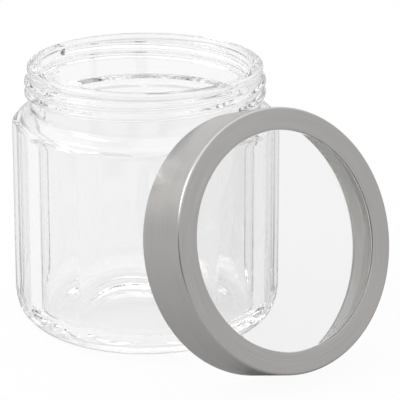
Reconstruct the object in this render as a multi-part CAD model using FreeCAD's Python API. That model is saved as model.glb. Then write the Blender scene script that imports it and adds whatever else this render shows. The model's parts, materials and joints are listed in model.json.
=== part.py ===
"""Screw-top glass candle jar, standing open with its window lid leaning against it.

Frame: origin on the jar axis at the floor, +Z up, +X to the right seen from the front (-Y).
The lid stands on its open rim in front of the jar (towards -Y) and leans back on the neck.
All sizes are in millimetres.
"""
import FreeCAD
import Part
import math
import os

from FreeCAD import Vector

# ---------------------------------------------------------------- jar body
jar_height = 123.3            # floor to the top of the lip
body_radius = 61.0            # axis to the ridges between the flat sides
side_count = 12               # flat sides round the body
ridge_turn_deg = -6.5         # turn of the first ridge from the front, about the jar axis
heel_radius = 17.0            # rounding from the wall down to the bearing ring
shoulder_drop = 26.3          # lip top down to where the shoulder slope would meet the ridges
shoulder_slope_deg = 51.3     # of the shoulder, from upright
shoulder_radius = 4.0         # rounding from the wall into the shoulder
shoulder_wall = 4.0           # glass across the shoulder slope
knee_radius = 5.0             # rounding inside the shoulder
side_wall = 3.3               # glass behind the middle of a flat side
floor_thickness = 7.5         # bearing plane to the inside floor
bearing_width = 3.0           # flat ring the jar stands on
push_up = 3.0                 # hollow under the middle of the base
inner_heel_radius = 10.0      # rounding between the inside floor and wall

# ---------------------------------------------------------------- jar finish (neck, thread and lip)
mouth_radius = 48.3           # clear bore of the neck
thread_root_radius = 52.7     # neck wall between the thread ridges, and below them
thread_crest_radius = 54.9    # top of the thread ridges
lip_radius = 53.6             # outside of the lip
lip_height = 3.2              # how far down the lip band reaches
lip_edge_outer = 1.5          # rounding of the outer edge of the lip
lip_edge_inner = 0.7          # rounding of the inner edge of the lip
thread_pitch = 5.08           # ridge to ridge, along the axis
thread_starts = 2
thread_base_width = 3.6       # ridge width at the neck wall
thread_crest_width = 1.0      # ridge width at the crest
thread_top_drop = 3.9         # lip top down to the upper end of a ridge
thread_turn = 1.0             # turns in each ridge
thread_top_turn_deg = 14.0    # where the upper end of the first ridge is, about the jar axis

# ---------------------------------------------------------------- lid
lid_radius = 58.4             # outside of the steel skirt
lid_depth = 26.0              # top face to the open rim
sheet = 0.6                   # steel thickness
fold_radius = 0.9             # outside radius of the fold between face and skirt
window_radius = 48.4          # opening in the flat face
window_lip = 1.5              # the sheet turned down round the opening
hem_height = 2.2              # the skirt turned back inside at the open rim
pane_thickness = 2.0
gasket_thickness = 1.5
gasket_inner_radius = 49.4
insert_wall = 1.5             # moulded ring inside the skirt
insert_ledge = 0.7            # the step the pane rests on
insert_thread_depth = 2.2     # inside thread, wall to crest
insert_thread_base_width = 2.2
insert_thread_crest_width = 0.9
insert_thread_turn = 0.55     # turns in each inside ridge
fit_gap = 0.15                # between parts fixed together in the lid
seat_gap = 0.05               # under the pane and the face, where the parts press together

# ---------------------------------------------------------------- lid at rest
lean_deg = 18.2               # tilt of the lid back from upright
lean_side = 3.9               # how far the lid stands to the right of the jar axis
lean_gap = 0.90               # open rim to the neck (or whatever part of the jar) it leans on

# ---------------------------------------------------------------- sizes that follow
apothem = body_radius * math.cos(math.pi / side_count)
inner_radius = apothem - side_wall
thread_lead = thread_pitch * thread_starts
shoulder_slope = math.radians(shoulder_slope_deg)
shoulder_corner = jar_height - shoulder_drop
shoulder_start = shoulder_corner - shoulder_radius * math.tan(shoulder_slope / 2.0)
shoulder_end = shoulder_start + shoulder_radius * math.sin(shoulder_slope)
neck_foot = shoulder_corner + (body_radius - thread_root_radius) / math.tan(shoulder_slope)
knee_corner = shoulder_corner + (body_radius - inner_radius - shoulder_wall / math.cos(shoulder_slope)) / math.tan(
    shoulder_slope)
knee_start = knee_corner - knee_radius * math.tan(shoulder_slope / 2.0)
bore_foot = knee_corner + (inner_radius - mouth_radius) / math.tan(shoulder_slope)
skirt_inner_radius = lid_radius - sheet
insert_outer_radius = skirt_inner_radius - fit_gap
insert_inner_radius = insert_outer_radius - insert_wall
pane_radius = insert_inner_radius + insert_ledge
gasket_outer_radius = insert_inner_radius - fit_gap
# heights in the lid's own frame: z = 0 where the gasket meets the lip of the jar
gasket_top = gasket_thickness
pane_bottom = gasket_top + seat_gap
pane_top = pane_bottom + pane_thickness
face_bottom = pane_top + seat_gap
face_top = face_bottom + sheet
skirt_bottom = face_top - lid_depth
insert_bottom = skirt_bottom + hem_height + fit_gap

AXIS = Vector(0, 0, 1)
ORIGIN = Vector(0, 0, 0)


def at(r, z):
    """Point of a half section at radius r and height z."""
    return Vector(r, 0, z)


def line(a, b):
    """Straight edge of a half section."""
    return Part.makeLine(at(*a), at(*b))


def arc(a, middle, b):
    """Round edge of a half section through three points."""
    return Part.Arc(at(*a), at(*middle), at(*b)).toShape()


def revolve(edges):
    """Full turn of a closed half section about the Z axis."""
    face = Part.Face(Part.Wire(edges))
    return face.revolve(ORIGIN, AXIS, 360)


def on_circle(centre, radius, degrees):
    """Point of a half section on a circle."""
    angle = math.radians(degrees)
    return (centre[0] + radius * math.cos(angle), centre[1] + radius * math.sin(angle))


def ring(inner, outer, bottom, top):
    """Plain ring about the Z axis."""
    return revolve([line((inner, bottom), (outer, bottom)), line((outer, bottom), (outer, top)),
                    line((outer, top), (inner, top)), line((inner, top), (inner, bottom))])


def thread_ridge(root, crest, base_width, crest_width, lead, turn, top, start_deg, sunk):
    """One helical ridge that ends at height top; root and crest are radii, sunk buries its foot."""
    height = lead * turn
    bottom = top - height
    helix = Part.makeHelix(lead, height, root)
    outwards = 1.0 if crest > root else -1.0
    foot = root - outwards * sunk
    slope = (base_width - crest_width) / 2.0 / abs(crest - root)
    half_foot = base_width / 2.0 + slope * sunk
    half_crest = crest_width / 2.0
    corners = [at(foot, -half_foot), at(crest, -half_crest), at(crest, half_crest), at(foot, half_foot)]
    profile = Part.makePolygon(corners + corners[:1])
    ridge = Part.Wire(helix).makePipeShell([profile], True, True)
    ridge.rotate(ORIGIN, AXIS, start_deg - 90.0 - 360.0 * turn)
    ridge.translate(Vector(0, 0, bottom))
    return ridge


def jar_outside():
    """Solid of the jar as if it were full: heel, wall, shoulder, neck and lip."""
    heel = (body_radius - heel_radius, heel_radius)
    shoulder = (body_radius - shoulder_radius, shoulder_start)
    slope_foot = on_circle(shoulder, shoulder_radius, shoulder_slope_deg)
    slope_top = (thread_root_radius, neck_foot)
    lip_foot = (thread_root_radius, jar_height - lip_height)
    lip_band = (lip_radius, jar_height - lip_height + (lip_radius - thread_root_radius))
    crown = (lip_radius - lip_edge_outer, jar_height - lip_edge_outer)
    edges = [
        line((0, 0), (heel[0], 0)),
        arc((heel[0], 0), on_circle(heel, heel_radius, -45), (body_radius, heel_radius)),
        line((body_radius, heel_radius), (body_radius, shoulder_start)),
        arc((body_radius, shoulder_start), on_circle(shoulder, shoulder_radius, shoulder_slope_deg / 2.0), slope_foot),
        line(slope_foot, slope_top),
        line(slope_top, lip_foot),
        line(lip_foot, lip_band),
        line(lip_band, (lip_radius, crown[1])),
        arc((lip_radius, crown[1]), on_circle(crown, lip_edge_outer, 45), (crown[0], jar_height)),
        line((crown[0], jar_height), (0, jar_height)),
        line((0, jar_height), (0, 0)),
    ]
    return revolve(edges)


def jar_inside():
    """Solid of the hollow in the jar, open above the lip."""
    low = (inner_radius - inner_heel_radius, floor_thickness + inner_heel_radius)
    knee = (inner_radius - knee_radius, knee_start)
    knee_end = on_circle(knee, knee_radius, shoulder_slope_deg)
    crown = (mouth_radius + lip_edge_inner, jar_height - lip_edge_inner)
    over = jar_height + 5.0
    edges = [
        line((0, floor_thickness), (low[0], floor_thickness)),
        arc((low[0], floor_thickness), on_circle(low, inner_heel_radius, -45), (inner_radius, low[1])),
        line((inner_radius, low[1]), (inner_radius, knee_start)),
        arc((inner_radius, knee_start), on_circle(knee, knee_radius, shoulder_slope_deg / 2.0), knee_end),
        line(knee_end, (mouth_radius, bore_foot)),
        line((mouth_radius, bore_foot), (mouth_radius, crown[1])),
        arc((mouth_radius, crown[1]), on_circle(crown, lip_edge_inner, 135), (crown[0], jar_height)),
        line((crown[0], jar_height), (crown[0], over)),
        line((crown[0], over), (0, over)),
        line((0, over), (0, floor_thickness)),
    ]
    return revolve(edges)


def sides_prism():
    """Twelve-sided block whose flats trim the round body."""
    turn = ridge_turn_deg - 90.0
    corners = []
    for k in range(side_count):
        angle = math.radians(turn + 360.0 * k / side_count)
        corners.append(Vector(body_radius * math.cos(angle), body_radius * math.sin(angle), -1.0))
    face = Part.Face(Part.makePolygon(corners + corners[:1]))
    return face.extrude(Vector(0, 0, jar_height + 2.0))


def make_jar():
    """The glass jar in one piece of glass."""
    outside = jar_outside().common(sides_prism())
    for k in range(thread_starts):
        ridge = thread_ridge(thread_root_radius, thread_crest_radius, thread_base_width, thread_crest_width,
                             thread_lead, thread_turn, jar_height - thread_top_drop,
                             thread_top_turn_deg + 360.0 * k / thread_starts, 1.0)
        outside = outside.fuse(ridge)
    hollow_edge = body_radius - heel_radius - bearing_width
    hollow_rise = (hollow_edge ** 2 + push_up ** 2) / (2.0 * push_up)
    ball = Part.makeSphere(hollow_rise, Vector(0, 0, push_up - hollow_rise))
    return outside.cut(jar_inside()).cut(ball)


def make_band():
    """Steel ring and skirt folded from one sheet, hemmed at the rim, turned down at the window."""
    fold = (lid_radius - fold_radius, face_top - fold_radius)
    inner_fold = fold_radius - sheet
    lip_z = face_top - window_lip
    hem_inner = skirt_inner_radius - sheet
    hem_top = skirt_bottom + hem_height
    edges = [
        line((window_radius, lip_z), (window_radius, face_top)),
        line((window_radius, face_top), (fold[0], face_top)),
        arc((fold[0], face_top), on_circle(fold, fold_radius, 45), (lid_radius, fold[1])),
        line((lid_radius, fold[1]), (lid_radius, skirt_bottom + sheet)),
        arc((lid_radius, skirt_bottom + sheet), on_circle((skirt_inner_radius, skirt_bottom + sheet), sheet, -45),
            (skirt_inner_radius, skirt_bottom)),
        arc((skirt_inner_radius, skirt_bottom), on_circle((skirt_inner_radius, skirt_bottom + sheet), sheet, -135),
            (hem_inner, skirt_bottom + sheet)),
        line((hem_inner, skirt_bottom + sheet), (hem_inner, hem_top)),
        line((hem_inner, hem_top), (skirt_inner_radius, hem_top)),
        line((skirt_inner_radius, hem_top), (skirt_inner_radius, fold[1])),
        arc((skirt_inner_radius, fold[1]), on_circle(fold, inner_fold, 45), (fold[0], face_bottom)),
        line((fold[0], face_bottom), (window_radius + sheet, face_bottom)),
        line((window_radius + sheet, face_bottom), (window_radius + sheet, lip_z)),
        line((window_radius + sheet, lip_z), (window_radius, lip_z)),
    ]
    return revolve(edges)


def make_pane():
    """Clear pane with a raised middle that fills the opening in the face."""
    step = window_radius - fit_gap
    rebate = window_radius + sheet + fit_gap
    rebate_z = face_top - window_lip - seat_gap
    middle_top = face_top - 0.6
    return revolve([
        line((0, pane_bottom), (pane_radius - fit_gap, pane_bottom)),
        line((pane_radius - fit_gap, pane_bottom), (pane_radius - fit_gap, pane_top)),
        line((pane_radius - fit_gap, pane_top), (rebate, pane_top)),
        line((rebate, pane_top), (rebate, rebate_z)),
        line((rebate, rebate_z), (step, rebate_z)),
        line((step, rebate_z), (step, middle_top)),
        line((step, middle_top), (0, middle_top)),
        line((0, middle_top), (0, pane_bottom)),
    ])


def make_insert():
    """Moulded ring inside the skirt: ledge for the pane and the inside screw thread."""
    ledge_z = pane_bottom - seat_gap
    fold_clear = lid_radius - fold_radius - fit_gap
    top = face_bottom - seat_gap
    body = revolve([
        line((insert_inner_radius, insert_bottom + 0.8), (insert_inner_radius + 0.8, insert_bottom)),
        line((insert_inner_radius + 0.8, insert_bottom), (insert_outer_radius, insert_bottom)),
        line((insert_outer_radius, insert_bottom), (insert_outer_radius, top - 0.8)),
        line((insert_outer_radius, top - 0.8), (min(fold_clear, insert_outer_radius - 0.3), top)),
        line((min(fold_clear, insert_outer_radius - 0.3), top), (pane_radius, top)),
        line((pane_radius, top), (pane_radius, ledge_z)),
        line((pane_radius, ledge_z), (insert_inner_radius, ledge_z)),
        line((insert_inner_radius, ledge_z), (insert_inner_radius, insert_bottom + 0.8)),
    ])
    crest = insert_inner_radius - insert_thread_depth
    for k in range(thread_starts):
        ridge = thread_ridge(insert_inner_radius, crest, insert_thread_base_width, insert_thread_crest_width,
                             thread_lead, insert_thread_turn, -thread_top_drop - thread_pitch / 2.0,
                             thread_top_turn_deg + 360.0 * k / thread_starts, 0.6)
        body = body.fuse(ridge)
    return body


def make_gasket():
    """Flat seal ring under the pane."""
    return ring(gasket_inner_radius, gasket_outer_radius, 0.0, gasket_top)


def jar_reach(z):
    """Radius of the jar's outside at height z, with the thread ridges left off."""
    if z >= neck_foot:
        return thread_root_radius
    if z >= shoulder_end:
        return thread_root_radius + (neck_foot - z) * math.tan(shoulder_slope)
    return body_radius


def lean_support(rim_top):
    """How far in front of the jar's axis the top of the leaning rim stands.

    The top of the rim leans on the jar at height rim_top. Where the shoulder or the body is wide
    enough to meet the rim lower down first, the lid stands further out.
    """
    lean = math.radians(lean_deg)
    support = math.sqrt((jar_reach(rim_top) + lean_gap) ** 2 - lean_side ** 2)
    for degrees in range(-180, 181, 2):
        around = math.radians(degrees)
        down_rim = lid_radius * (1.0 - math.cos(around))
        height = rim_top - down_rim * math.cos(lean)
        across = lean_side + lid_radius * math.sin(around)
        clear = jar_reach(height) + lean_gap
        if height < neck_foot and clear > abs(across):
            needed = math.sqrt(clear ** 2 - across ** 2) - down_rim * math.sin(lean)
            support = max(support, needed)
    return support


def lean_placement():
    """From the lid's own frame to where the lid stands, leaning back on the jar."""
    turn = FreeCAD.Rotation(Vector(1, 0, 0), 90.0 - lean_deg)
    lean = math.radians(lean_deg)
    # the rounded hem touches the floor below the rim centre and faces the neck above it
    rim_drop = skirt_inner_radius * math.cos(lean) - sheet * math.sin(lean) + sheet
    rim_reach = skirt_inner_radius * math.sin(lean) - sheet * math.cos(lean) + sheet
    # the top of the rim is this high, so this is the part of the jar it leans on
    rim_top = 2.0 * rim_drop - sheet * math.cos(lean)
    centre = Vector(lean_side, -(lean_support(rim_top) + rim_reach), rim_drop)
    shift = turn.multVec(Vector(0, 0, skirt_bottom))
    return FreeCAD.Placement(centre - shift, turn)


def main():
    """Make every piece and write it as a STEP file."""
    os.makedirs("parts", exist_ok=True)
    lean = lean_placement()
    make_jar().exportStep("parts/glass_jar.step")
    lid = {"lid_band": make_band(), "lid_window": make_pane(), "lid_insert": make_insert(),
           "lid_gasket": make_gasket()}
    for name, shape in lid.items():
        placed = shape.copy()
        placed.Placement = lean.multiply(placed.Placement)
        placed.exportStep("parts/" + name + ".step")


main()
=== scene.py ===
"""A pressed-glass candle jar with a screw thread, open, and the brushed steel window lid that leans on it.

Every length in a class below is in millimetres and becomes metres when a mesh is made.
"""

import json
import logging
import math
from collections.abc import Sequence
from dataclasses import dataclass
from enum import Enum
from typing import Any

import bpy
import numpy as np
from mathutils import Matrix, Vector


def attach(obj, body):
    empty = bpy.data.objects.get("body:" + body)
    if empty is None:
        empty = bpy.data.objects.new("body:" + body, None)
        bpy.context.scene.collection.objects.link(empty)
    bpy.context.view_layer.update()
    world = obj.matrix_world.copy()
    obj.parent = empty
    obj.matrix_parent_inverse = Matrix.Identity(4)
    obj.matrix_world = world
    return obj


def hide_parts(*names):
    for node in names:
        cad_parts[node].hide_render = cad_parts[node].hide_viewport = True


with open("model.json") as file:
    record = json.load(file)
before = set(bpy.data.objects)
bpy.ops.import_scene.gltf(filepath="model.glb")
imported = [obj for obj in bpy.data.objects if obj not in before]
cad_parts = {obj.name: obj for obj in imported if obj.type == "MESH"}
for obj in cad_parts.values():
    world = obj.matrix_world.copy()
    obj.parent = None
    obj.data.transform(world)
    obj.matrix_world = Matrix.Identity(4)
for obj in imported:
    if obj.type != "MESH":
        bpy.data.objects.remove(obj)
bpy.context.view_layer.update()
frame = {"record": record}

MM = 0.001
LOG = logging.getLogger("candle_jar")
Point = tuple[float, float]


# ---------------------------------------------------------------- colour and node helpers
def linear(code: str) -> tuple[float, float, float, float]:
    """Turn an sRGB hex colour into the linear RGBA that a shader takes.

    Args:
        code: six hex digits, with or without a leading hash.

    Returns:
        Linear red, green and blue, and an alpha of 1.
    """
    digits = code.lstrip("#")
    parts = [int(digits[i:i + 2], 16) / 255.0 for i in (0, 2, 4)]
    rgb = [c / 12.92 if c <= 0.04045 else ((c + 0.055) / 1.055) ** 2.4 for c in parts]
    return (rgb[0], rgb[1], rgb[2], 1.0)


def add_node(tree: bpy.types.NodeTree, kind: str, inputs: dict[Any, Any] | None = None,
             **settings: Any) -> bpy.types.Node:
    """Add one node with its settings, and set or link its sockets.

    Args:
        tree: the tree that gets the node.
        kind: the node's Blender type name.
        inputs: socket name or number against a value, or against the output socket to link from.
        **settings: properties of the node itself.

    Returns:
        The new node.
    """
    node = tree.nodes.new(kind)
    for name, value in settings.items():
        setattr(node, name, value)
    for socket, value in (inputs or {}).items():
        if isinstance(value, bpy.types.NodeSocket):
            tree.links.new(value, node.inputs[socket])
        else:
            node.inputs[socket].default_value = value
    return node


def empty_material(name: str) -> tuple[bpy.types.Material, bpy.types.NodeTree]:
    """Make a node material with nothing in it.

    Args:
        name: the material's name.

    Returns:
        The material and its node tree.
    """
    material = bpy.data.materials.new(name)
    material.use_nodes = True
    material.node_tree.nodes.clear()
    return material, material.node_tree


# ---------------------------------------------------------------- finishes
@dataclass(frozen=True)
class PressedGlass:
    """Clear soda-lime glass pressed in a steel mould and fire polished.

    The eye gets a hard bright gloss, thin grey lines where the body bends the light aside, and
    a faint slow wave from the mould, with almost no colour of its own.
    """

    name: str = "pressed soda-lime glass"
    tint: str = "#F9F9F9"
    ior: float = 1.52
    roughness: float = 0.0
    wave_mm: float = 14.0
    wave_height_mm: float = 0.02

    def build(self) -> bpy.types.Material:
        """Make the material.

        Returns:
            The glass, with the mould's wave as bump.
        """
        material, tree = empty_material(self.name)
        coords = add_node(tree, "ShaderNodeTexCoord")
        wave = add_node(tree, "ShaderNodeTexNoise", {
            "Vector": coords.outputs["Object"], "Scale": 1.0 / (self.wave_mm * MM), "Detail": 1.0})
        bump = add_node(tree, "ShaderNodeBump", {
            "Height": wave.outputs["Fac"], "Strength": 1.0, "Distance": self.wave_height_mm * MM})
        shader = add_node(tree, "ShaderNodeBsdfPrincipled", {
            "Base Color": linear(self.tint), "IOR": self.ior, "Roughness": self.roughness,
            "Transmission Weight": 1.0, "Normal": bump.outputs["Normal"]})
        add_node(tree, "ShaderNodeOutputMaterial", {"Surface": shader.outputs["BSDF"]})
        return material


@dataclass(frozen=True)
class PolishedPane:
    """Clear glass cut to a disc and polished, as in a lid or a watch.

    The eye gets a flat clear sheet that is a little greyer than the air beside it, with a few
    hairline wiping marks.
    """

    name: str = "polished clear pane"
    tint: str = "#F5F5F5"
    ior: float = 1.5
    smear_mm: float = 30.0
    smooth: float = 0.0
    wiped: float = 0.03

    def build(self) -> bpy.types.Material:
        """Make the material.

        Returns:
            The pane, with its gloss broken slightly in patches.
        """
        material, tree = empty_material(self.name)
        coords = add_node(tree, "ShaderNodeTexCoord")
        smear = add_node(tree, "ShaderNodeTexNoise", {
            "Vector": coords.outputs["Object"], "Scale": 1.0 / (self.smear_mm * MM), "Detail": 3.0})
        gloss = add_node(tree, "ShaderNodeMapRange", {
            "Value": smear.outputs["Fac"], "From Min": 0.45, "From Max": 0.75,
            "To Min": self.smooth, "To Max": self.wiped})
        shader = add_node(tree, "ShaderNodeBsdfPrincipled", {
            "Base Color": linear(self.tint), "IOR": self.ior, "Roughness": gloss.outputs["Result"],
            "Transmission Weight": 1.0})
        add_node(tree, "ShaderNodeOutputMaterial", {"Surface": shader.outputs["BSDF"]})
        return material


@dataclass(frozen=True)
class BrushedStainless:
    """Stainless steel sheet, spun against an abrasive belt so that the brushing runs round the ring.

    The eye gets a warm mid grey with fine lines along the rim, and highlights drawn out across
    those lines.
    """

    name: str = "round-brushed stainless steel"
    dark: str = "#A6A3A1"
    light: str = "#C6C4C2"
    roughness: float = 0.3
    anisotropy: float = 0.6
    # a 180 grit belt leaves lines about 0.1 mm apart; they are drawn at 0.45 mm so that they show
    line_mm: float = 0.45
    line_height_mm: float = 0.006
    line_turns: float = 2.0
    gloss_below: float = 0.06
    gloss_above: float = 0.08
    # the highlight stretches across the lines, a quarter turn from the tangent that follows them
    quarter_turn: float = 0.25

    def build(self) -> bpy.types.Material:
        """Make the material.

        Returns:
            The steel, with brushing that follows the lid's own axis.
        """
        material, tree = empty_material(self.name)
        turned = add_node(tree, "ShaderNodeAttribute", attribute_name="lathe")
        stretch = (self.line_turns, self.line_turns, 1.0 / (self.line_mm * MM))
        place = add_node(tree, "ShaderNodeVectorMath", {0: turned.outputs["Vector"], 1: stretch},
                         operation="MULTIPLY")
        lines = add_node(tree, "ShaderNodeTexNoise", {
            "Vector": place.outputs["Vector"], "Scale": 1.0, "Detail": 4.0, "Roughness": 0.65})
        colour = add_node(tree, "ShaderNodeMix", {
            "Factor": lines.outputs["Fac"], "A": linear(self.dark), "B": linear(self.light)},
            data_type="RGBA")
        gloss = add_node(tree, "ShaderNodeMapRange", {
            "Value": lines.outputs["Fac"], "To Min": self.roughness - self.gloss_below,
            "To Max": self.roughness + self.gloss_above})
        bump = add_node(tree, "ShaderNodeBump", {
            "Height": lines.outputs["Fac"], "Strength": 0.6, "Distance": self.line_height_mm * MM})
        tangent = add_node(tree, "ShaderNodeTangent", direction_type="UV_MAP", uv_map="round")
        shader = add_node(tree, "ShaderNodeBsdfPrincipled", {
            "Base Color": colour.outputs["Result"], "Metallic": 1.0, "Roughness": gloss.outputs["Result"],
            "Anisotropic": self.anisotropy, "Anisotropic Rotation": self.quarter_turn,
            "Tangent": tangent.outputs["Tangent"], "Normal": bump.outputs["Normal"]})
        add_node(tree, "ShaderNodeOutputMaterial", {"Surface": shader.outputs["BSDF"]})
        return material


@dataclass(frozen=True)
class MouldedPolymer:
    """A pale polymer, injection moulded or cast, with a fine even skin.

    The eye gets a soft broad gloss on the hard liner and almost none on the seal, a slight
    glow in the thin edges, and faint flow marks.
    """

    name: str
    base: str
    shade: str
    roughness: float
    depth_mm: float
    flow_mm: float
    grain_mm: float
    gloss_spread: float = 0.05
    grain_height_mm: float = 0.02
    glow: float = 0.3
    ior: float = 1.49

    def build(self) -> bpy.types.Material:
        """Make the material.

        Returns:
            The polymer, with flow marks in its colour and a fine grain in its skin.
        """
        material, tree = empty_material(self.name)
        coords = add_node(tree, "ShaderNodeTexCoord")
        flow = add_node(tree, "ShaderNodeTexNoise", {
            "Vector": coords.outputs["Object"], "Scale": 1.0 / (self.flow_mm * MM), "Detail": 3.0})
        grain = add_node(tree, "ShaderNodeTexNoise", {
            "Vector": coords.outputs["Object"], "Scale": 1.0 / (self.grain_mm * MM), "Detail": 2.0})
        colour = add_node(tree, "ShaderNodeMix", {
            "Factor": flow.outputs["Fac"], "A": linear(self.base), "B": linear(self.shade)},
            data_type="RGBA")
        gloss = add_node(tree, "ShaderNodeMapRange", {
            "Value": grain.outputs["Fac"], "To Min": self.roughness - self.gloss_spread,
            "To Max": self.roughness + self.gloss_spread})
        bump = add_node(tree, "ShaderNodeBump", {
            "Height": grain.outputs["Fac"], "Strength": 0.3, "Distance": self.grain_height_mm * MM})
        shader = add_node(tree, "ShaderNodeBsdfPrincipled", {
            "Base Color": colour.outputs["Result"], "Roughness": gloss.outputs["Result"],
            "IOR": self.ior, "Subsurface Weight": self.glow, "Subsurface Scale": self.depth_mm * MM,
            "Normal": bump.outputs["Normal"]})
        add_node(tree, "ShaderNodeOutputMaterial", {"Surface": shader.outputs["BSDF"]})
        return material


# ---------------------------------------------------------------- half sections and lathe work
def straight(a: Point, b: Point, step: float = 0.1) -> np.ndarray:
    """Points along a straight run of a half section.

    Args:
        a: radius and height of the start.
        b: radius and height of the end.
        step: spacing of the points.

    Returns:
        One row of radius and height for each point, ends included.
    """
    count = max(2, int(math.dist(a, b) / step) + 1)
    return np.linspace(a, b, count)


def bend(centre: Point, radius: float, start: float, end: float, step: float = 0.1) -> np.ndarray:
    """Points along a round run of a half section.

    Args:
        centre: radius and height of the centre.
        radius: radius of the round.
        start: first angle in degrees, 0 outwards and 90 up.
        end: last angle in degrees.
        step: spacing of the points.

    Returns:
        One row of radius and height for each point, ends included.
    """
    count = max(4, int(abs(math.radians(end - start)) * radius / step) + 1)
    angle = np.radians(np.linspace(start, end, count))
    return np.stack([centre[0] + radius * np.cos(angle), centre[1] + radius * np.sin(angle)], axis=1)


def even(points: np.ndarray, step: float) -> np.ndarray:
    """Space the points of a run evenly along its length.

    Args:
        points: one row of radius and height for each point.
        step: the new spacing.

    Returns:
        The run again, with its ends kept.
    """
    gaps = np.hypot(*np.diff(points, axis=0).T)
    points = points[np.concatenate([[True], gaps > 1e-9])]
    along = np.concatenate([[0.0], np.cumsum(np.hypot(*np.diff(points, axis=0).T))])
    want = np.linspace(0.0, along[-1], max(3, int(along[-1] / step)))
    return np.stack([np.interp(want, along, points[:, 0]), np.interp(want, along, points[:, 1])], axis=1)


def soften(points: np.ndarray, step: float, width: float, closed: bool) -> np.ndarray:
    """Round every corner of an evenly spaced run a little, as a mould or a polish does.

    Args:
        points: the run, spaced by step.
        step: the spacing.
        width: how far the rounding reaches each side of a corner.
        closed: whether the run joins up with its own start.

    Returns:
        The softened run.
    """
    reach = max(1, int(round(2.0 * width / step)))
    weights = np.exp(-0.5 * (np.arange(-reach, reach + 1) * step / width) ** 2)
    weights /= weights.sum()
    if closed:
        padded = np.concatenate([points[-reach:], points, points[:reach]])
    else:
        before = 2.0 * points[0] - points[reach:0:-1]
        after = 2.0 * points[-1] - points[-2:-reach - 2:-1]
        padded = np.concatenate([before, points, after])
    return np.stack([np.convolve(padded[:, i], weights, mode="valid") for i in (0, 1)], axis=1)


def thin_out(points: np.ndarray, longest: float, turn_deg: float, fine: np.ndarray | None = None,
             fine_step: float = 0.25) -> np.ndarray:
    """Keep as many points of a run as its curves need.

    Args:
        points: the run, closely spaced.
        longest: the longest gap wanted on a straight.
        turn_deg: the most that the run may turn between two kept points.
        fine: true for the points where relief needs close spacing.
        fine_step: the longest gap there.

    Returns:
        The numbers of the kept points, both ends among them.
    """
    legs = np.diff(points, axis=0)
    length = np.hypot(*legs.T)
    heading = np.unwrap(np.arctan2(legs[:, 1], legs[:, 0]))
    turn = np.abs(np.concatenate([[0.0], np.diff(heading)]))
    need = length / longest + turn / math.radians(turn_deg)
    if fine is not None:
        need = np.where(fine[:-1], np.maximum(need, length / fine_step), need)
    total = np.concatenate([[0.0], np.cumsum(need)])
    marks = np.linspace(0.0, total[-1], int(math.ceil(total[-1])) + 1)
    return np.unique(np.searchsorted(total, marks).clip(0, len(points) - 1))


def lathe(name: str, radii: np.ndarray, heights: np.ndarray, angles: np.ndarray, closed: bool,
          place: Matrix | None = None) -> bpy.types.Object:
    """Make a mesh from rings whose radius may change round the axis.

    The mesh carries a UV map, "round", that runs round the axis and along the section, and a
    point attribute, "lathe", with the direction from the axis and the length along the section.

    Args:
        name: the object's name.
        radii: one row for each ring and one column for each angle, in millimetres.
        heights: the same for the heights.
        angles: the polar angles in radians.
        closed: true joins the last ring to the first; false closes both ends with a point on the axis.
        place: where the axis stands in the row frame; none leaves it on the frame's own axis.

    Returns:
        The object, smooth shaded, with faces that look outwards.
    """
    rows, columns = radii.shape
    points = np.stack([radii * np.cos(angles), radii * np.sin(angles), heights], axis=2).reshape(-1, 3) * MM
    middle = np.stack([radii.mean(axis=1), heights.mean(axis=1)], axis=1) * MM
    along = np.concatenate([[0.0], np.cumsum(np.hypot(*np.diff(middle, axis=0).T)), [0.0]])
    along[-1] = along[-2] + math.dist(middle[-1], middle[0])
    around = np.concatenate([angles, [angles[0] + 2.0 * math.pi]]) / (2.0 * math.pi)
    last = rows if closed else rows - 1
    row, column = (grid.ravel() for grid in np.meshgrid(np.arange(last), np.arange(columns), indexing="ij"))
    beside, above = (column + 1) % columns, (row + 1) % rows
    quads = np.stack([row * columns + column, row * columns + beside, above * columns + beside,
                      above * columns + column], axis=1)
    corners = ((column, row), (column + 1, row), (column + 1, row + 1), (column, row + 1))
    uv = np.stack([np.stack([around[u], along[v]], axis=1) for u, v in corners], axis=1).reshape(-1, 2)
    turned = np.stack([np.tile(np.cos(angles), rows), np.tile(np.sin(angles), rows),
                       np.repeat(along[:rows], columns)], axis=1)
    faces = quads.tolist()
    if not closed:
        for ring, step in ((0, 1), (rows - 1, -1)):
            centre = len(points)
            points = np.concatenate([points, [[0.0, 0.0, heights[ring].mean() * MM]]])
            turned = np.concatenate([turned, [[0.0, 0.0, along[ring]]]])
            for i in range(columns):
                pair = (ring * columns + (i + 1) % columns, ring * columns + i)
                faces.append([*pair[::step], centre])
                ends = np.array([[around[i + 1], along[ring]], [around[i], along[ring]]])[::step]
                uv = np.concatenate([uv, ends, [[around[i], along[ring]]]])
    if place is not None:
        matrix = np.array(place)
        points = points @ matrix[:3, :3].T + matrix[:3, 3]
    mesh = bpy.data.meshes.new(name)
    mesh.from_pydata(points.tolist(), [], faces)
    mesh.uv_layers.new(name="round").uv.foreach_set("vector", uv.astype(np.float32).ravel())
    mesh.attributes.new("lathe", "FLOAT_VECTOR", "POINT").data.foreach_set(
        "vector", turned.astype(np.float32).ravel())
    mesh.shade_smooth()
    thing = bpy.data.objects.new(name, mesh)
    bpy.context.scene.collection.objects.link(thing)
    return thing


def smooth_step(value: np.ndarray) -> np.ndarray:
    """Ease from 0 to 1 with no kink at either end."""
    t = np.clip(value, 0.0, 1.0)
    return t * t * (3.0 - 2.0 * t)


def soft_min(a: np.ndarray, b: np.ndarray, width: float) -> np.ndarray:
    """Take the smaller of two values, blended where they are within width of each other."""
    mix = np.maximum(width - np.abs(a - b), 0.0) / width
    return np.minimum(a, b) - mix * mix * width * 0.25


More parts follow.
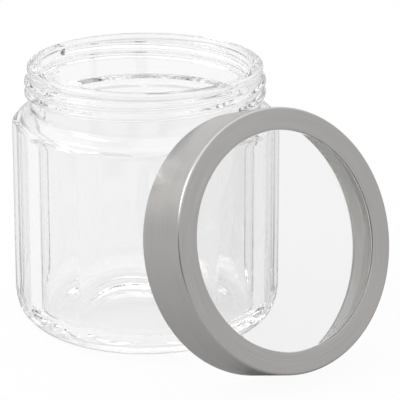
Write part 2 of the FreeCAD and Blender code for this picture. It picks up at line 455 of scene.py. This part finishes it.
@dataclass(frozen=True)
class ScrewThread:
    """Equal helical ridges round a common axis."""

    pitch: float
    starts: int
    turns: float
    top: float
    top_turn_deg: float
    depth: float
    foot_width: float
    crest_width: float
    fade_deg: float

    def relief(self, angles: np.ndarray, heights: np.ndarray) -> np.ndarray:
        """Height of the ridges above the wall they stand on.

        Args:
            angles: polar angles in radians.
            heights: heights along the axis, in millimetres.

        Returns:
            The relief in millimetres.
        """
        lead = self.pitch * self.starts
        result = np.zeros(np.broadcast(angles, heights).shape)
        for k in range(self.starts):
            top_angle = self.top_turn_deg - 90.0 + 360.0 * k / self.starts
            back = (top_angle - np.degrees(angles)) % 360.0
            span = 360.0 * self.turns
            middle = self.top - lead * back / 360.0
            away = np.abs(heights - middle)
            side = smooth_step((self.foot_width / 2.0 - away) * 2.0 / (self.foot_width - self.crest_width))
            ends = smooth_step(np.minimum(back, span - back) / self.fade_deg)
            result = np.maximum(result, self.depth * side * ends)
        return result


# ---------------------------------------------------------------- glass jar
class InsideWall(Enum):
    """Shape of the jar's inside wall."""

    ROUND = "round"
    FACETED = "faceted"


@dataclass
class GlassJar:
    """The jar, in one piece of glass."""

    height: float = 123.3
    body_radius: float = 61.0
    sides: int = 12
    ridge_turn_deg: float = -6.5
    ridge_blend: float = 0.5
    heel_radius: float = 17.0
    shoulder_drop: float = 26.3
    shoulder_slope_deg: float = 51.3
    shoulder_radius: float = 4.0
    shoulder_wall: float = 4.0
    knee_radius: float = 5.0
    side_wall: float = 3.3
    floor_thickness: float = 7.5
    bearing_width: float = 3.0
    push_up: float = 3.0
    inner_heel_radius: float = 10.0
    mouth_radius: float = 48.3
    neck_radius: float = 52.7
    lip_radius: float = 53.6
    lip_height: float = 3.2
    lip_edge_outer: float = 1.5
    lip_edge_inner: float = 0.7
    corner_softness: float = 0.22
    columns_per_side: int = 32
    column_easing: float = 0.8
    pole_radius: float = 0.3
    flat_blend: float = 0.3
    thread_zone: float = 17.0
    inside: InsideWall = InsideWall.ROUND
    thread: ScrewThread = ScrewThread(
        pitch=5.08, starts=2, turns=1.0, top=119.4, top_turn_deg=14.0, depth=2.2, foot_width=4.2,
        crest_width=0.6, fade_deg=4.0)

    def outside_run(self) -> np.ndarray:
        """Half section of the outside, from the middle of the base to the top of the lip.

        Returns:
            One row of radius and height for each point.
        """
        edge = self.body_radius - self.heel_radius - self.bearing_width
        ball = (edge ** 2 + self.push_up ** 2) / (2.0 * self.push_up)
        rim_angle = math.degrees(math.acos(edge / ball))
        slope = math.radians(self.shoulder_slope_deg)
        corner = self.height - self.shoulder_drop
        shoulder = (self.body_radius - self.shoulder_radius,
                    corner - self.shoulder_radius * math.tan(slope / 2.0))
        slope_foot = (shoulder[0] + self.shoulder_radius * math.cos(slope),
                      shoulder[1] + self.shoulder_radius * math.sin(slope))
        slope_top = (self.neck_radius, corner + (self.body_radius - self.neck_radius) / math.tan(slope))
        lip_foot = (self.neck_radius, self.height - self.lip_height)
        lip_band = (self.lip_radius, lip_foot[1] + self.lip_radius - self.neck_radius)
        crown = (self.lip_radius - self.lip_edge_outer, self.height - self.lip_edge_outer)
        return np.concatenate([
            bend((0.0, self.push_up - ball), ball, 90.0, rim_angle),
            straight((edge, 0.0), (edge + self.bearing_width, 0.0)),
            bend((edge + self.bearing_width, self.heel_radius), self.heel_radius, -90.0, 0.0),
            straight((self.body_radius, self.heel_radius), (self.body_radius, shoulder[1])),
            bend(shoulder, self.shoulder_radius, 0.0, self.shoulder_slope_deg),
            straight(slope_foot, slope_top),
            straight(slope_top, lip_foot),
            straight(lip_foot, lip_band),
            straight(lip_band, (self.lip_radius, crown[1])),
            bend(crown, self.lip_edge_outer, 0.0, 90.0),
        ])

    def inside_run(self) -> np.ndarray:
        """Half section of the inside, from the top of the lip to the middle of the floor.

        Returns:
            One row of radius and height for each point.
        """
        slope = math.radians(self.shoulder_slope_deg)
        wall = self.body_radius * math.cos(math.pi / self.sides) - self.side_wall
        corner = self.height - self.shoulder_drop + (
            self.body_radius - wall - self.shoulder_wall / math.cos(slope)) / math.tan(slope)
        crown = (self.mouth_radius + self.lip_edge_inner, self.height - self.lip_edge_inner)
        knee = (wall - self.knee_radius, corner - self.knee_radius * math.tan(slope / 2.0))
        knee_end = (knee[0] + self.knee_radius * math.cos(slope),
                    knee[1] + self.knee_radius * math.sin(slope))
        bore_foot = corner + (wall - self.mouth_radius) / math.tan(slope)
        heel = (wall - self.inner_heel_radius, self.floor_thickness + self.inner_heel_radius)
        return np.concatenate([
            bend(crown, self.lip_edge_inner, 90.0, 180.0),
            straight((self.mouth_radius, crown[1]), (self.mouth_radius, bore_foot)),
            straight((self.mouth_radius, bore_foot), knee_end),
            bend(knee, self.knee_radius, self.shoulder_slope_deg, 0.0),
            straight((wall, knee[1]), (wall, heel[1])),
            bend(heel, self.inner_heel_radius, 0.0, -90.0),
            straight((heel[0], self.floor_thickness), (self.pole_radius, self.floor_thickness)),
        ])

    def column_angles(self) -> np.ndarray:
        """Polar angles of the mesh columns, closer together beside the ridges.

        Returns:
            The angles in radians, all round.
        """
        steps = np.arange(self.columns_per_side) / self.columns_per_side
        eased = steps - self.column_easing * np.sin(2.0 * math.pi * steps) / (2.0 * math.pi)
        first = math.radians(self.ridge_turn_deg - 90.0)
        sector = 2.0 * math.pi / self.sides
        return np.concatenate([first + sector * (k + eased) for k in range(self.sides)])

    def flat_limit(self, angles: np.ndarray, ridge_radius: float) -> np.ndarray:
        """Radius of the twelve flats at each angle, with rounded ridges between them.

        Args:
            angles: polar angles in radians.
            ridge_radius: axis to the sharp ridge.

        Returns:
            The radius at each angle.
        """
        sector = 2.0 * math.pi / self.sides
        inner = ridge_radius * math.cos(sector / 2.0)
        local = (angles - math.radians(self.ridge_turn_deg - 90.0)) % sector - sector / 2.0
        here = inner / np.cos(local)
        left = inner / np.cos(local + sector)
        right = inner / np.cos(local - sector)
        return soft_min(soft_min(here, left, self.ridge_blend), right, self.ridge_blend)

    def build(self) -> bpy.types.Object:
        """Make the jar's mesh.

        Returns:
            The jar, standing on the floor of the frame.
        """
        step = 0.1
        both = np.concatenate([self.outside_run(), self.inside_run()])
        run = soften(even(both, step), step, self.corner_softness, closed=False)
        run[:, 0] = np.maximum(run[:, 0], self.pole_radius)
        radius, height = run.T
        order = np.arange(len(run))
        top = int(np.mean(order[height > self.height - 0.02]))
        # the thread and the ends of the ridges need close rings
        threaded = (order < top) & (height > self.height - self.thread_zone) & (height < self.height - 1.0)
        ridge_ends = (height < self.heel_radius + 1.0) | (height > self.height - self.shoulder_drop - 3.0)
        edged = (order < top) & (radius > self.body_radius - 3.0) & ridge_ends
        kept = thin_out(run, 3.0, 4.0, threaded | edged, 0.3)
        keep, is_out = run[kept], kept < top
        angles = self.column_angles()
        radii = np.repeat(keep[:, :1], len(angles), axis=1)
        heights = np.repeat(keep[:, 1:], len(angles), axis=1)
        flats = self.flat_limit(angles, self.body_radius)[None, :]
        radii = np.where(is_out[:, None], soft_min(radii, flats, self.flat_blend), radii)
        if self.inside is InsideWall.FACETED:
            inner_flats = self.flat_limit(angles, self.body_radius - self.side_wall)[None, :]
            radii = np.where(is_out[:, None], radii, np.minimum(radii + 2.0, inner_flats))
        relief = self.thread.relief(angles[None, :], heights)
        near_neck = (is_out & (keep[:, 1] > self.height - self.thread_zone)
                     & (keep[:, 0] > self.neck_radius - 0.5))
        radii = np.where(near_neck[:, None], np.maximum(radii, self.neck_radius + relief), radii)
        jar = lathe("jar_glass", radii, heights, angles, closed=False)
        LOG.info("jar: %d rings by %d columns", *radii.shape)
        return jar

    def dress(self, jar: bpy.types.Object, glass: PressedGlass) -> None:
        """Give the jar its finish and its place in the frame.

        Args:
            jar: the jar's object.
            glass: the finish.
        """
        jar.data.materials.append(glass.build())
        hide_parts("glass_jar")
        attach(jar, "jar")


# ---------------------------------------------------------------- lid
@dataclass
class WindowLid:
    """The screw lid: steel band, clear pane, threaded liner and seal ring."""

    radius: float = 58.32
    depth: float = 26.0
    sheet: float = 0.6
    fold_radius: float = 0.9
    window_radius: float = 48.4
    window_lip: float = 1.5
    hem_height: float = 2.2
    pane_thickness: float = 2.0
    gasket_thickness: float = 1.5
    gasket_inner_radius: float = 49.4
    insert_wall: float = 1.5
    insert_ledge: float = 0.7
    fit_gap: float = 0.15
    seat_gap: float = 0.05
    insert_chamfer: float = 0.8
    window_sunk: float = 0.6
    pole_radius: float = 0.3
    run_step: float = 0.05
    columns: int = 360
    thread: ScrewThread = ScrewThread(
        pitch=5.08, starts=2, turns=0.55, top=-6.44, top_turn_deg=14.0, depth=2.0, foot_width=3.0,
        crest_width=0.5, fade_deg=10.0)

    def __post_init__(self) -> None:
        """Work out the sizes and the place that follow from the fields and the record."""
        self.skirt_inner = self.radius - self.sheet
        self.insert_outer = self.skirt_inner - self.fit_gap
        self.insert_inner = self.insert_outer - self.insert_wall
        self.pane_bottom = self.gasket_thickness + self.seat_gap
        self.pane_top = self.pane_bottom + self.pane_thickness
        self.face_bottom = self.pane_top + self.seat_gap
        self.face_top = self.face_bottom + self.sheet
        self.skirt_bottom = self.face_top - self.depth
        turn = next(j for j in frame["record"]["behaviour"]["joints"] if j["name"] == "lid_turn")
        axis = Vector(turn["axis"]).normalized()
        side = Vector((1.0, 0.0, 0.0))
        up = axis.cross(side)
        rim = Vector(turn["pos_m"])
        origin = rim - axis * self.skirt_bottom * MM
        self.place = Matrix((side, up, axis)).transposed().to_4x4()
        self.place.translation = origin

    def turned(self, name: str, run: np.ndarray, softness: float,
               threaded: bool = False) -> bpy.types.Object:
        """Turn one closed half section into a finished part in the lid's own frame.

        Args:
            name: the object's name.
            run: the half section, in order, anticlockwise.
            softness: how far its corners are rounded.
            threaded: whether its inner face carries the screw thread.

        Returns:
            The part, in place.
        """
        whole = even(np.concatenate([run, run[:1]]), self.run_step)[:-1]
        ring = soften(whole, self.run_step, softness, closed=True)
        keep = ring[thin_out(ring, 1.5, 8.0)]
        angles = np.linspace(0.0, 2.0 * math.pi, self.columns, endpoint=False)
        radii = np.repeat(keep[:, :1], self.columns, axis=1)
        heights = np.repeat(keep[:, 1:], self.columns, axis=1)
        if threaded:
            relief = self.thread.relief(angles[None, :], heights)
            inner_face = (keep[:, 0] < self.insert_inner + 0.1)[:, None]
            radii = np.where(inner_face, radii - relief, radii)
        part = lathe(name, radii, heights, angles, closed=True, place=self.place)
        LOG.info("%s: %d rings by %d columns", name, *radii.shape)
        return part

    def build_band(self) -> bpy.types.Object:
        """Make the steel ring and skirt, folded from one sheet and hemmed at the rim.

        Returns:
            The band.
        """
        fold = (self.radius - self.fold_radius, self.face_top - self.fold_radius)
        lip_z = self.face_top - self.window_lip
        hem_inner = self.skirt_inner - self.sheet
        hem_top = self.skirt_bottom + self.hem_height
        rim = (self.skirt_inner, self.skirt_bottom + self.sheet)
        lip_outer = self.window_radius + self.sheet
        run = np.concatenate([
            straight((self.window_radius, lip_z), (self.window_radius, self.face_top)),
            straight((self.window_radius, self.face_top), (fold[0], self.face_top)),
            bend(fold, self.fold_radius, 90.0, 0.0),
            straight((self.radius, fold[1]), (self.radius, rim[1])),
            bend(rim, self.sheet, 0.0, -180.0),
            straight((hem_inner, rim[1]), (hem_inner, hem_top)),
            straight((hem_inner, hem_top), (self.skirt_inner, hem_top)),
            straight((self.skirt_inner, hem_top), (self.skirt_inner, fold[1])),
            bend(fold, self.fold_radius - self.sheet, 0.0, 90.0),
            straight((fold[0], self.face_bottom), (lip_outer, self.face_bottom)),
            straight((lip_outer, self.face_bottom), (lip_outer, lip_z)),
            straight((lip_outer, lip_z), (self.window_radius, lip_z)),
        ])[::-1]
        return self.turned("lid_steel_band", run, 0.1)

    def build_pane(self) -> bpy.types.Object:
        """Make the clear pane, stepped up in the middle to fill the window.

        Returns:
            The pane.
        """
        outer = self.insert_inner + self.insert_ledge - self.fit_gap
        step = self.window_radius - self.fit_gap
        rebate = self.window_radius + self.sheet + self.fit_gap
        rebate_z = self.face_top - self.window_lip - self.seat_gap
        middle_top = self.face_top - self.window_sunk
        run = np.concatenate([
            straight((self.pole_radius, middle_top), (step, middle_top)),
            straight((step, middle_top), (step, rebate_z)),
            straight((step, rebate_z), (rebate, rebate_z)),
            straight((rebate, rebate_z), (rebate, self.pane_top)),
            straight((rebate, self.pane_top), (outer, self.pane_top)),
            straight((outer, self.pane_top), (outer, self.pane_bottom)),
            straight((outer, self.pane_bottom), (self.pole_radius, self.pane_bottom)),
        ])[::-1]
        ring = soften(even(run, self.run_step), self.run_step, 0.12, closed=False)
        keep = ring[thin_out(ring, 4.0, 10.0)]
        angles = np.linspace(0.0, 2.0 * math.pi, self.columns, endpoint=False)
        pane = lathe("lid_clear_pane", np.repeat(keep[:, :1], self.columns, axis=1),
                     np.repeat(keep[:, 1:], self.columns, axis=1), angles, closed=False, place=self.place)
        LOG.info("lid_clear_pane: %d rings", len(keep))
        return pane

    def build_liner(self) -> bpy.types.Object:
        """Make the moulded liner that carries the inside thread and the ledge for the pane.

        Returns:
            The liner.
        """
        ledge_z = self.pane_bottom - self.seat_gap
        bottom = self.skirt_bottom + self.hem_height + self.fit_gap
        top = self.face_bottom - self.seat_gap
        ledge = self.insert_inner + self.insert_ledge
        shoulder = min(self.radius - self.fold_radius - self.fit_gap, self.insert_outer - 0.3)
        cut = self.insert_chamfer
        run = np.concatenate([
            straight((self.insert_inner, bottom + cut), (self.insert_inner + cut, bottom)),
            straight((self.insert_inner + cut, bottom), (self.insert_outer, bottom)),
            straight((self.insert_outer, bottom), (self.insert_outer, top - cut)),
            straight((self.insert_outer, top - cut), (shoulder, top)),
            straight((shoulder, top), (ledge, top)),
            straight((ledge, top), (ledge, ledge_z)),
            straight((ledge, ledge_z), (self.insert_inner, ledge_z)),
            straight((self.insert_inner, ledge_z), (self.insert_inner, bottom + cut)),
        ])
        return self.turned("lid_liner", run, 0.12, threaded=True)

    def build_seal(self) -> bpy.types.Object:
        """Make the flat seal ring, with rounded edges.

        Returns:
            The seal.
        """
        inner = self.gasket_inner_radius
        outer = self.insert_inner - self.fit_gap
        top = self.gasket_thickness
        run = np.concatenate([
            straight((inner, 0.0), (outer, 0.0)), straight((outer, 0.0), (outer, top)),
            straight((outer, top), (inner, top)), straight((inner, top), (inner, 0.0))])
        return self.turned("lid_seal_ring", run, 0.2)

    def dress(self, part: bpy.types.Object, material: bpy.types.Material, node: str, body: str) -> None:
        """Give one part of the lid its finish and its place in the frame.

        Args:
            part: the part's object.
            material: its finish.
            node: the CAD node that it stands for, which is hidden from view.
            body: the body that it rides on.
        """
        part.data.materials.append(material)
        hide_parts(node)
        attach(part, body)


# ---------------------------------------------------------------- studio
@dataclass
class Studio:
    """Plain pale floor, soft light and the camera."""

    floor_size: float = 12.0
    camera_azimuth_deg: float = -37.05
    camera_elevation_deg: float = 18.48
    camera_distance_mm: float = 1176.3
    target_height_mm: float = 60.0
    aim_right_mm: float = 24.91
    aim_down_mm: float = 2.58
    focal_mm: float = 229.5
    sensor_mm: float = 36.0
    # how much of the floor's light is its own where it is seen directly or through glass
    floor_glow_share: float = 0.93
    floor_glow: float = 1.02
    # height on the sky sphere against brightness, for light that comes through glass
    through_low: float = 0.20
    through_high: float = 0.70
    through_dim: float = 0.35
    # the same for light that is mirrored
    mirror_low: float = 0.3
    mirror_high: float = 0.75
    mirror_dim: float = 0.8
    mirror_bright: float = 1.5
    # the dark patch where the camera stands, as the cosine of the angle from its middle
    crew_edge: float = 0.84
    crew_middle: float = 0.93
    crew_dim: float = 0.12
    bounces: int = 32
    mirror_bounces: int = 24

    def build_floor(self) -> None:
        """Lay a plain white floor that stays white to the eye and shades softly in reflections."""
        half = self.floor_size / 2.0
        mesh = bpy.data.meshes.new("floor")
        mesh.from_pydata([(-half, -half, 0.0), (half, -half, 0.0), (half, half, 0.0), (-half, half, 0.0)], [],
                         [(0, 1, 2, 3)])
        floor = bpy.data.objects.new("floor", mesh)
        bpy.context.scene.collection.objects.link(floor)
        material, tree = empty_material("matt white studio floor")
        path = add_node(tree, "ShaderNodeLightPath")
        seen = add_node(tree, "ShaderNodeMath", {
            0: path.outputs["Is Camera Ray"], 1: path.outputs["Is Transmission Ray"]},
            operation="MAXIMUM")
        share = add_node(tree, "ShaderNodeMath", {0: seen.outputs["Value"], 1: self.floor_glow_share},
                         operation="MULTIPLY")
        matt = add_node(tree, "ShaderNodeBsdfDiffuse", {"Color": linear("#C8C8C8")})
        glow = add_node(tree, "ShaderNodeEmission", {
            "Color": linear("#FFFFFF"), "Strength": self.floor_glow})
        mixed = add_node(tree, "ShaderNodeMixShader", {
            0: share.outputs["Value"], 1: matt.outputs["BSDF"], 2: glow.outputs["Emission"]})
        add_node(tree, "ShaderNodeOutputMaterial", {"Surface": mixed.outputs["Shader"]})
        mesh.materials.append(material)

    def build_surround(self) -> None:
        """Make the white surround, greyer overhead and where the camera stands."""
        world = bpy.data.worlds.new("studio surround")
        world.use_nodes = True
        tree = world.node_tree
        tree.nodes.clear()
        coords = add_node(tree, "ShaderNodeTexCoord")
        parts = add_node(tree, "ShaderNodeSeparateXYZ", {"Vector": coords.outputs["Generated"]})
        through = add_node(tree, "ShaderNodeMapRange", {
            "Value": parts.outputs["Z"], "From Min": self.through_low, "From Max": self.through_high,
            "To Min": 1.0, "To Max": self.through_dim},
            interpolation_type="SMOOTHSTEP")
        above = add_node(tree, "ShaderNodeMapRange", {
            "Value": parts.outputs["Z"], "From Min": self.mirror_low, "From Max": self.mirror_high,
            "To Min": self.mirror_dim, "To Max": self.mirror_bright},
            interpolation_type="SMOOTHSTEP")
        azimuth = math.radians(self.camera_azimuth_deg)
        stand = Vector((math.sin(azimuth), -math.cos(azimuth), 0.1)).normalized()
        toward = add_node(tree, "ShaderNodeVectorMath", {0: coords.outputs["Generated"], 1: stand},
                          operation="DOT_PRODUCT")
        crew = add_node(tree, "ShaderNodeMapRange", {
            "Value": toward.outputs["Value"], "From Min": self.crew_edge, "From Max": self.crew_middle,
            "To Min": 1.0, "To Max": self.crew_dim},
            interpolation_type="SMOOTHSTEP")
        mirrored = add_node(tree, "ShaderNodeMath", {0: above.outputs["Result"], 1: crew.outputs["Result"]},
                            operation="MULTIPLY")
        path = add_node(tree, "ShaderNodeLightPath")
        light = add_node(tree, "ShaderNodeMix", {
            "Factor": path.outputs["Is Glossy Ray"], "A": through.outputs["Result"],
            "B": mirrored.outputs["Value"]}, data_type="FLOAT")
        plain = add_node(tree, "ShaderNodeMath", {
            0: path.outputs["Is Camera Ray"], 1: path.outputs["Is Diffuse Ray"]}, operation="MAXIMUM")
        seen = add_node(tree, "ShaderNodeMath", {
            0: plain.outputs["Value"], 1: light.outputs["Result"]}, operation="MAXIMUM")
        glow = add_node(tree, "ShaderNodeBackground", {
            "Color": linear("#FFFFFF"), "Strength": seen.outputs["Value"]})
        add_node(tree, "ShaderNodeOutputWorld", {"Surface": glow.outputs["Background"]})
        bpy.context.scene.world = world

    def build_softbox(self, name: str, place: Sequence[float], width: float, power: float) -> None:
        """Hang one square softbox that looks at the jar.

        Args:
            name: the light's name.
            place: its place in metres.
            width: its width in metres.
            power: its power in watts.
        """
        data = bpy.data.lights.new(name, "AREA")
        data.shape = "SQUARE"
        data.size = width
        data.energy = power
        box = bpy.data.objects.new(name, data)
        box.location = place
        box.rotation_euler = (Vector((0.0, 0.0, 0.06)) - Vector(place)).to_track_quat("-Z", "Y").to_euler()
        bpy.context.scene.collection.objects.link(box)

    def build_camera(self) -> None:
        """Stand the camera where it sees the jar on the left and the lid in front on the right."""
        azimuth = math.radians(self.camera_azimuth_deg)
        elevation = math.radians(self.camera_elevation_deg)
        back = Vector((math.sin(azimuth) * math.cos(elevation), -math.cos(azimuth) * math.cos(elevation),
                       math.sin(elevation)))
        right = Vector((math.cos(azimuth), math.sin(azimuth), 0.0))
        up = back.cross(right)
        target = Vector((0.0, 0.0, self.target_height_mm * MM))
        aim = target + right * self.aim_right_mm * MM - up * self.aim_down_mm * MM
        place = target + back * self.camera_distance_mm * MM
        data = bpy.data.cameras.new("camera")
        data.lens = self.focal_mm
        data.sensor_width = self.sensor_mm
        data.clip_start = 0.01
        camera = bpy.data.objects.new("camera", data)
        camera.location = place
        camera.rotation_euler = (aim - place).to_track_quat("-Z", "Y").to_euler()
        bpy.context.scene.collection.objects.link(camera)
        bpy.context.scene.camera = camera

    def build(self) -> None:
        """Set up the whole studio."""
        self.build_floor()
        self.build_surround()
        self.build_softbox("softbox high left", (-1.2, 0.6, 1.3), 0.9, 14.0)
        self.build_camera()
        scene = bpy.context.scene
        scene.view_settings.view_transform = "Standard"
        # light that runs round inside the glass needs many bounces before it comes out again
        scene.cycles.max_bounces = self.bounces
        scene.cycles.transmission_bounces = self.bounces
        scene.cycles.glossy_bounces = self.mirror_bounces


def main() -> None:
    """Build and dress every piece, then the studio, and report each one."""
    logging.basicConfig(level=logging.INFO, format="%(message)s")
    jar_maker = GlassJar()
    jar = jar_maker.build()
    jar_maker.dress(jar, PressedGlass())
    lid = WindowLid()
    lid.dress(lid.build_band(), BrushedStainless().build(), "lid_band", "lid")
    lid.dress(lid.build_pane(), PolishedPane().build(), "lid_window", "lid")
    liner = MouldedPolymer("moulded polypropylene", "#F4F3F1", "#EAE9E6", 0.38, 1.0, 18.0, 0.6)
    lid.dress(lid.build_liner(), liner.build(), "lid_insert", "lid")
    seal = MouldedPolymer("cast silicone rubber", "#DEDDD9", "#D3D2CE", 0.55, 2.0, 12.0, 0.4)
    lid.dress(lid.build_seal(), seal.build(), "lid_gasket", "seal")
    Studio().build()
    LOG.info("boxes written")


if __name__ == "__main__":
    main()
